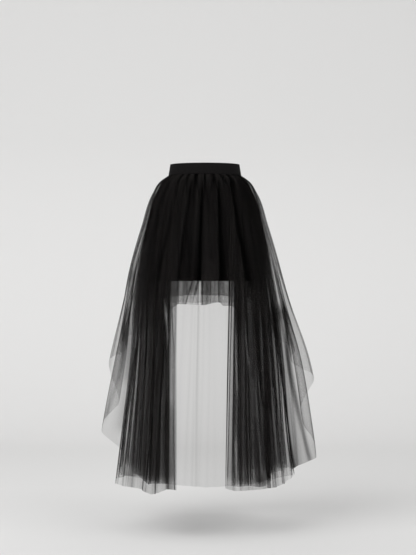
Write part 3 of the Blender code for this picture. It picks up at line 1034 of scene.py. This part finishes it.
def stitch_tree():
    """Nodes that lay thread stitches end to end along a path, with their sizes as inputs."""
    tree = bpy.data.node_groups.new("stitches along a path", "GeometryNodeTree")
    sockets = tree.interface
    sockets.new_socket("Geometry", in_out="INPUT", socket_type="NodeSocketGeometry")
    for name in ("Pitch", "Length", "Thickness", "Unevenness"):
        sockets.new_socket(name, in_out="INPUT", socket_type="NodeSocketFloat")
    sockets.new_socket("Seed", in_out="INPUT", socket_type="NodeSocketInt")
    sockets.new_socket("Thread", in_out="INPUT", socket_type="NodeSocketMaterial")
    sockets.new_socket("Geometry", in_out="OUTPUT", socket_type="NodeSocketGeometry")

    nodes = Nodes(tree)
    given = nodes.node("NodeGroupInput").outputs
    path = nodes.node("GeometryNodeMeshToCurve", Mesh=given["Geometry"])
    spaced = nodes.node("GeometryNodeResampleCurve", {"mode": "LENGTH"},
                        Curve=path.outputs["Curve"], Length=given["Pitch"])
    tangent = nodes.node("GeometryNodeInputTangent")
    along = nodes.node("FunctionNodeAlignRotationToVector", {"axis": "X"},
                       Vector=tangent.outputs["Tangent"])
    chance = nodes.node("FunctionNodeRandomValue", {"data_type": "FLOAT"}, Seed=given["Seed"])
    length = nodes.node("ShaderNodeMath", {"operation": "MULTIPLY_ADD"},
                        chance.outputs["Value"], given["Unevenness"], given["Length"])
    size = nodes.node("ShaderNodeCombineXYZ", X=length.outputs[0], Y=given["Thickness"],
                      Z=given["Thickness"])
    stitch = nodes.node("GeometryNodeMeshUVSphere", Segments=8, Rings=5, Radius=0.5)
    laid = nodes.node("GeometryNodeInstanceOnPoints", Points=spaced.outputs["Curve"],
                      Instance=stitch.outputs["Mesh"], Rotation=along.outputs["Rotation"],
                      Scale=size.outputs["Vector"])
    real = nodes.node("GeometryNodeRealizeInstances", Geometry=laid.outputs["Instances"])
    smooth = nodes.node("GeometryNodeSetShadeSmooth", Geometry=real.outputs["Geometry"])
    black = nodes.node("GeometryNodeSetMaterial", Geometry=smooth.outputs["Geometry"],
                       Material=given["Thread"])
    nodes.node("NodeGroupOutput", Geometry=black.outputs["Geometry"])
    return tree


def sew(name, loops, settings):
    """A plain mesh of stitches along closed loops of points, riding on the skirt."""
    path = bpy.data.meshes.new(name + " path")
    points = [tuple(point) for loop in loops for point in loop]
    edges = []
    first = 0
    for loop in loops:
        count = len(loop)
        edges += [(first + step, first + (step + 1) % count) for step in range(count)]
        first += count
    path.from_pydata(points, edges, [])
    guide = add_object(name + " path", path)
    modifier = guide.modifiers.new("stitches", "NODES")
    modifier.node_group = stitch_tree()
    given = {
        "Pitch": settings.stitch_pitch,
        "Length": settings.stitch_length,
        "Thickness": settings.thread_thickness,
        "Unevenness": settings.stitch_length * STITCH_UNEVENNESS,
        "Seed": STITCH_SEED,
        "Thread": thread_finish(settings),
    }
    for item in modifier.node_group.interface.items_tree:
        if item.in_out == "INPUT" and item.name in given:
            modifier[item.identifier] = given[item.name]
    bpy.context.view_layer.update()
    graph = bpy.context.evaluated_depsgraph_get()
    mesh = bpy.data.meshes.new_from_object(guide.evaluated_get(graph))
    if not mesh.polygons:
        raise RuntimeError(f"{name}: the path gave no stitches")
    guide.modifiers.remove(modifier)
    bpy.data.objects.remove(guide)
    stitches = add_object(name, mesh)
    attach(stitches, BODY)


def band_loop(half_width, height):
    """A closed loop of points round the waistband."""
    turn = math.tau * np.arange(BAND_COLUMNS) / BAND_COLUMNS
    x, y = half_width * np.sin(turn), -BAND_RATIO * half_width * np.cos(turn)
    return np.stack([x, y, np.full(BAND_COLUMNS, height)], axis=-1)


def band_section(settings):
    """The waistband's half-widths and heights: down the ribbed outside, then up the plain inside."""
    top, foot = BAND_HIGH.z, BAND_LOW.z
    height = top - foot
    section = []
    steps = 8 * settings.rib_count + 16
    for step in range(steps + 1):
        share = step / steps
        z = top - height * share
        leaning = settings.top_half_width + (BAND_HIGH.x - settings.top_half_width) * share
        ribs = 0.5 - 0.5 * math.cos(math.tau * settings.rib_count * share)
        rolled = max(0.0, 1 - (top - z) / settings.roll_height)
        groove = math.exp(-(((top - z - settings.roll_height) / BAND_GROOVE_WIDTH) ** 2))
        edge = min(share, 1 - share) * height
        rounding = BAND_ROUNDING * max(0.0, 1 - edge / BAND_ROUNDING_HEIGHT) ** 2
        out = leaning - settings.rib_depth * (1 - ribs) * (1 - rolled)
        section.append((out - BAND_GROOVE_DEPTH * groove - rounding, z))
    for step in range(BAND_INNER_STEPS + 1):
        z = foot + height * step / BAND_INNER_STEPS
        z = min(max(z, foot + BAND_INNER_TRIM), top - BAND_INNER_TRIM)
        section.append((BAND_INNER_FOOT + BAND_INNER_RISE * step / BAND_INNER_STEPS, z))
    return section


def hem_loop(points, allowance, stand_off):
    """A closed loop of points over a round sheet's hem, just off its outer face."""
    heights = points[:, :, 2]
    hem = heights[-1] + allowance
    loop = []
    for column in range(0, heights.shape[1], 2):
        rising = heights[::-1, column]
        x = np.interp(hem[column], rising, points[::-1, column, 0])
        y = np.interp(hem[column], rising, points[::-1, column, 1])
        outward = 1 + stand_off / math.hypot(x, y)
        loop.append((x * outward, y * outward, hem[column]))
    return loop


def a_colour(name, description, default):
    """A colour that a user may change."""
    return FloatVectorProperty(name=name, description=description, subtype="COLOR", size=3,
                               min=0, max=1, default=default)


def a_length(name, description, least, most, default):
    """A length in metres that a user may change."""
    return FloatProperty(name=name, description=description, unit="LENGTH", min=least, max=most,
                         precision=4, default=default)


def a_share(name, description, least, most, default):
    """A share that a user may change."""
    return FloatProperty(name=name, description=description, subtype="FACTOR", min=least,
                         max=most, default=default)


def a_count(name, description, most, default):
    """A whole number that a user may change."""
    return IntProperty(name=name, description=description, min=1, max=most, default=default)


def a_power(name, description, default):
    """A light's power in watts that a user may change."""
    return FloatProperty(name=name, description=description, unit="POWER", min=0, max=5000,
                         default=default)


class SkirtNet(bpy.types.PropertyGroup):
    """The sheer net."""

    colour: a_colour("Net colour", "Colour of the net's yarn", (0.0111, 0.0102, 0.0098))
    clearness: a_share("Clearness", "Share of light that one flat layer lets through", 0.05, 0.99, 0.80)
    least_slant: a_share("Least slant", "How edge-on the net may be seen before it stops darkening",
                         0.02, 1, 0.20)
    hole_size: a_length("Hole size", "Distance from hole to hole of the net", 0.0005, 0.01, 0.0014)
    hole_contrast: a_share("Hole contrast", "How much clearer the holes are than the yarn", 0, 1, 0.55)
    gloss: a_share("Gloss", "Shine of the yarn", 0, 1, 0.015)
    # Painted shade: how much darker the net's colour is painted between its waist gathers and in thin
    # lines.
    gather_shade: a_share("Gather shade", "How much darker the net is between its waist gathers",
                          0, 1, 0.95)
    line_shade: a_share("Line shade", "How much darker the thin lines down the cloth are", 0, 1, 0.36)
    waist_gathers: a_count("Waist gathers", "Small gathers of one set under the waistband", 200, 29)
    hem_waver: a_length("Hem waver", "How far the cut edge strays up and down", 0, 0.02, 0.0025)
    fine_folds: a_count("Fine folds", "Small folds along one sheet", 400, 58)
    fold_overlap: FloatProperty(
        name="Fold overlap", description="How far the panels' folds lap over each other, 1 is upright",
        min=0, max=3, default=1.1,
    )


class SkirtLining(bpy.types.PropertyGroup):
    """The opaque lining."""

    colour: a_colour("Lining colour", "Colour of the lining cloth", (0.0042, 0.0040, 0.0040))
    thread_pitch: a_length("Thread pitch", "Distance between the threads of the weave",
                           0.0002, 0.01, 0.0007)
    thickness: a_length("Thickness", "Thickness of the cloth", 0.0002, 0.003, 0.0008)
    hem_allowance: a_length("Hem allowance", "Height of the hem's row of stitches over its edge",
                            0.002, 0.05, 0.012)


class SkirtBand(bpy.types.PropertyGroup):
    """The elastic waistband and the sewing."""

    colour: a_colour("Elastic colour", "Colour of the elastic", (0.0050, 0.0045, 0.0045))
    top_half_width: a_length("Top half-width", "Half the band's width at its top edge",
                             0.05, 0.3, 0.111)
    rib_count: a_count("Ribs", "Ribs that run round the band", 30, 11)
    rib_depth: a_length("Rib depth", "Depth of the grooves between the ribs", 0, 0.003, 0.0004)
    roll_height: a_length("Rolled edge", "Height of the rolled edge along the top",
                          0.001, 0.01, 0.0042)
    wale_pitch: a_length("Wale pitch", "Distance between the upright ribs of the knit",
                         0.0005, 0.01, 0.0016)
    stitch_pitch: a_length("Stitch pitch", "Distance from stitch to stitch", 0.001, 0.01, 0.0034)
    stitch_length: a_length("Stitch length", "Length of one stitch", 0.0005, 0.01, 0.0027)
    thread_thickness: a_length("Thread", "Thickness of the sewing thread", 0.0001, 0.002, 0.0006)


class SkirtStage(bpy.types.PropertyGroup):
    """The floor, the lights and the camera."""

    floor_height: a_length("Floor height", "Height of the floor under the waistband", -3, 0, -1.152)
    floor_colour: a_colour("Floor colour", "Colour of the floor and backdrop", (0.782, 0.779, 0.774))
    key_power: a_power("Key light", "Power of the large light at the front left", 195)
    fill_power: a_power("Fill light", "Power of the large light at the front right", 72)
    room_light: FloatProperty(
        name="Room light", description="Strength of the even light all round",
        min=0, max=5, default=0.63,
    )
    camera_distance: a_length("Camera distance", "Distance of the camera from the skirt's middle",
                              1, 20, 5.0)
    camera_side: a_length("Camera offset", "How far right of the skirt's middle the camera stands",
                          -2, 2, 0.010)
    camera_height: a_length("Camera height", "Height of the camera from the waistband's middle",
                            -3, 3, -0.344)
    camera_reach: FloatProperty(
        name="Focal length in pixels", description="Focal length, in pixels of the photo's frame",
        min=100, max=20000, default=1562,
    )


class SKIRT_OT_waistband(bpy.types.Operator):
    """Makes the ribbed elastic waistband and the stitches that hold the nets in it"""

    bl_idname = "skirt.waistband"
    bl_label = "Waistband"

    def execute(self, context):
        settings = context.scene.skirt_band
        points = np.stack([band_loop(half_width, z) for half_width, z in band_section(settings)])
        even = np.ones(points.shape[:2])
        piece = add_sheet("waistband_elastic", points, even, even, True,
                          elastic_finish(settings), ring=True)
        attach(piece, BODY)
        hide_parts("waistband")
        top, height = BAND_HIGH.z, BAND_HIGH.z - BAND_LOW.z
        lean = BAND_HIGH.x - settings.top_half_width
        loops = []
        for rise in BAND_STITCH_ROWS:
            drop = height - rise
            half_width = settings.top_half_width + lean * drop / height
            loops.append(band_loop(half_width + STITCH_STAND_OFF, top - drop))
        sew("waistband_stitches", loops, settings)
        return {"FINISHED"}


class SKIRT_OT_lining(bpy.types.Operator):
    """Makes the short opaque lining and the stitches of its hem"""

    bl_idname = "skirt.lining"
    bl_label = "Lining"

    def execute(self, context):
        settings = context.scene.skirt_lining
        drape = round_sheet(LINING, context.scene.skirt_net)
        points = hang_sheet("lining_cloth", "lining", drape,
                            lining_finish(settings), thickness=settings.thickness)
        loop = hem_loop(points, settings.hem_allowance, settings.thickness + STITCH_STAND_OFF)
        sew("lining_hem_stitches", [loop], context.scene.skirt_band)
        return {"FINISHED"}


def hang_round_net(node, cut, settings):
    """Makes a net that goes all the way round, in its solid's place."""
    hang_sheet(node + "_sheet", node, round_sheet(cut, settings), shared_net(settings))


class SKIRT_OT_short_net(bpy.types.Operator):
    """Makes the short gathered net over the lining"""

    bl_idname = "skirt.short_net"
    bl_label = "Short net"

    def execute(self, context):
        hang_round_net("short_net", SHORT_NET, context.scene.skirt_net)
        return {"FINISHED"}


class SKIRT_OT_high_low_net(bpy.types.Operator):
    """Makes the outermost net, short at the open side and long at the far side"""

    bl_idname = "skirt.high_low_net"
    bl_label = "High-low net"

    def execute(self, context):
        hang_round_net("high_low_net", HIGH_LOW_NET, context.scene.skirt_net)
        return {"FINISHED"}


class SKIRT_OT_side_panels(bpy.types.Operator):
    """Makes the long gathered nets at both sides, two layers each"""

    bl_idname = "skirt.side_panels"
    bl_label = "Side panels"

    def execute(self, context):
        settings = context.scene.skirt_net
        seed = PANEL_FIRST_SEED
        for side, inner_trims in PANEL_INNER_TRIMS.items():
            layers = (
                ("inner", PANEL_INNER_GIRTHS, PANEL_INNER_HEM, inner_trims),
                ("outer", PANEL_OUTER_GIRTHS, PANEL_OUTER_HEM, (0.0, 0.0)),
            )
            for layer, girths, hem, trims in layers:
                drape = panel_sheet(side, layer, girths, hem, trims, seed, settings)
                node = f"{side}_panel_{layer}"
                hang_sheet(node + "_sheet", node, drape, shared_net(settings), closed=False)
                seed += PANEL_SEED_STEP
        return {"FINISHED"}


def backdrop_profile():
    """The backdrop's line from its near edge, along the floor and up the wall."""
    profile = [(BACKDROP_NEAR + step, 0.0) for step in range(BACKDROP_FLOOR_STEPS)]
    for step in range(BACKDROP_TURN_STEPS + 1):
        angle = math.pi / 2 * step / BACKDROP_TURN_STEPS
        y = BACKDROP_TURN + BACKDROP_RADIUS * math.sin(angle)
        profile.append((y, BACKDROP_RADIUS * (1 - math.cos(angle))))
    profile.append((BACKDROP_TURN + BACKDROP_RADIUS, BACKDROP_TOP))
    return profile


def add_backdrop(settings):
    """The pale floor and wall, in one sweep, with painted light and shade along it."""
    profile = backdrop_profile()
    floor = settings.floor_height
    sides = (-BACKDROP_HALF_WIDTH, BACKDROP_HALF_WIDTH)
    points = [(x, y, floor + z) for y, z in profile for x in sides]
    faces = [(2 * row, 2 * row + 1, 2 * row + 3, 2 * row + 2) for row in range(len(profile) - 1)]
    mesh = bpy.data.meshes.new("backdrop")
    mesh.from_pydata(points, [], faces)
    mesh.shade_smooth()
    along = np.hypot(*np.diff(np.array(profile), axis=0).T).cumsum()
    # Painted light and shade: darker on the floor towards the camera and up the wall, palest on the
    # floor behind the skirt and in the turn.
    backdrop_light = read(BACKDROP_PAINTED_LIGHT, np.concatenate([[0.0], along]), "tone")
    add_attribute(mesh, "tone", np.repeat(backdrop_light, 2))
    finish = Finish("pale paper")
    colour = finish.blend(finish.attribute("tone"), BLACK, scaled_colour(settings.floor_colour))
    finish.surface(Base_Color=colour, Roughness=0.9, Specular_IOR_Level=0.1)
    mesh.materials.append(finish.material)
    add_object("backdrop", mesh)


def add_light(name, place, power):
    """A large square white light that faces the skirt's middle."""
    lamp = bpy.data.lights.new(name, "AREA")
    lamp.shape = "SQUARE"
    lamp.size = LIGHT_SIZE
    lamp.energy = power
    holder = add_object(name, lamp)
    holder.location = place
    way = Vector(LIGHT_TARGET) - Vector(place)
    holder.rotation_euler = way.to_track_quat("-Z", "Y").to_euler()


class SKIRT_OT_stage(bpy.types.Operator):
    """Makes the pale floor and backdrop, the soft lights and the camera"""

    bl_idname = "skirt.stage"
    bl_label = "Stage"

    def execute(self, context):
        scene = context.scene
        settings = scene.skirt_stage
        add_backdrop(settings)
        add_light("key light", KEY_PLACE, settings.key_power)
        add_light("fill light", FILL_PLACE, settings.fill_power)
        scene.world = bpy.data.worlds.new("soft room")
        scene.world.use_nodes = True
        background = scene.world.node_tree.nodes["Background"]
        background.inputs["Color"].default_value = (1, 1, 1, 1)
        background.inputs["Strength"].default_value = settings.room_light
        camera = bpy.data.cameras.new("camera")
        camera.sensor_width = SENSOR_WIDTH
        camera.lens = settings.camera_reach / PHOTO_HEIGHT * SENSOR_WIDTH
        scene.camera = add_object("camera", camera)
        place = (settings.camera_side, -settings.camera_distance, settings.camera_height)
        scene.camera.location = place
        scene.camera.rotation_euler = (math.pi / 2, 0, 0)
        scene.view_settings.view_transform = "Standard"
        scene.cycles.transparent_max_bounces = CLEAR_LAYERS
        return {"FINISHED"}


class SKIRT_PT_panel(bpy.types.Panel):
    """Lists the skirt's pieces and their sizes"""

    bl_idname = "SKIRT_PT_panel"
    bl_label = "Tutu skirt"
    bl_space_type = "VIEW_3D"
    bl_region_type = "UI"
    bl_category = "Tutu skirt"

    def draw(self, context):
        for operator in OPERATORS:
            self.layout.operator(operator.bl_idname)
        for name, group in GROUPS.items():
            box = self.layout.box()
            for setting in group.__annotations__:
                box.prop(getattr(context.scene, name), setting)


OPERATORS = (
    SKIRT_OT_stage,
    SKIRT_OT_waistband,
    SKIRT_OT_lining,
    SKIRT_OT_short_net,
    SKIRT_OT_side_panels,
    SKIRT_OT_high_low_net,
)
GROUPS = {
    "skirt_net": SkirtNet,
    "skirt_lining": SkirtLining,
    "skirt_band": SkirtBand,
    "skirt_stage": SkirtStage,
}


def register():
    """Registers the settings, the operators and the panel."""
    for name, group in GROUPS.items():
        bpy.utils.register_class(group)
        setattr(bpy.types.Scene, name, PointerProperty(type=group))
    for operator in OPERATORS:
        bpy.utils.register_class(operator)
    bpy.utils.register_class(SKIRT_PT_panel)


def unregister():
    """Takes the panel, the operators and the settings out again."""
    bpy.utils.unregister_class(SKIRT_PT_panel)
    for operator in reversed(OPERATORS):
        bpy.utils.unregister_class(operator)
    for name, group in GROUPS.items():
        delattr(bpy.types.Scene, name)
        bpy.utils.unregister_class(group)


def main():
    """Makes the stage and every piece."""
    register()
    bpy.ops.skirt.stage()
    bpy.ops.skirt.waistband()
    bpy.ops.skirt.lining()
    bpy.ops.skirt.short_net()
    bpy.ops.skirt.side_panels()
    bpy.ops.skirt.high_low_net()


if __name__ == "__main__":
    main()
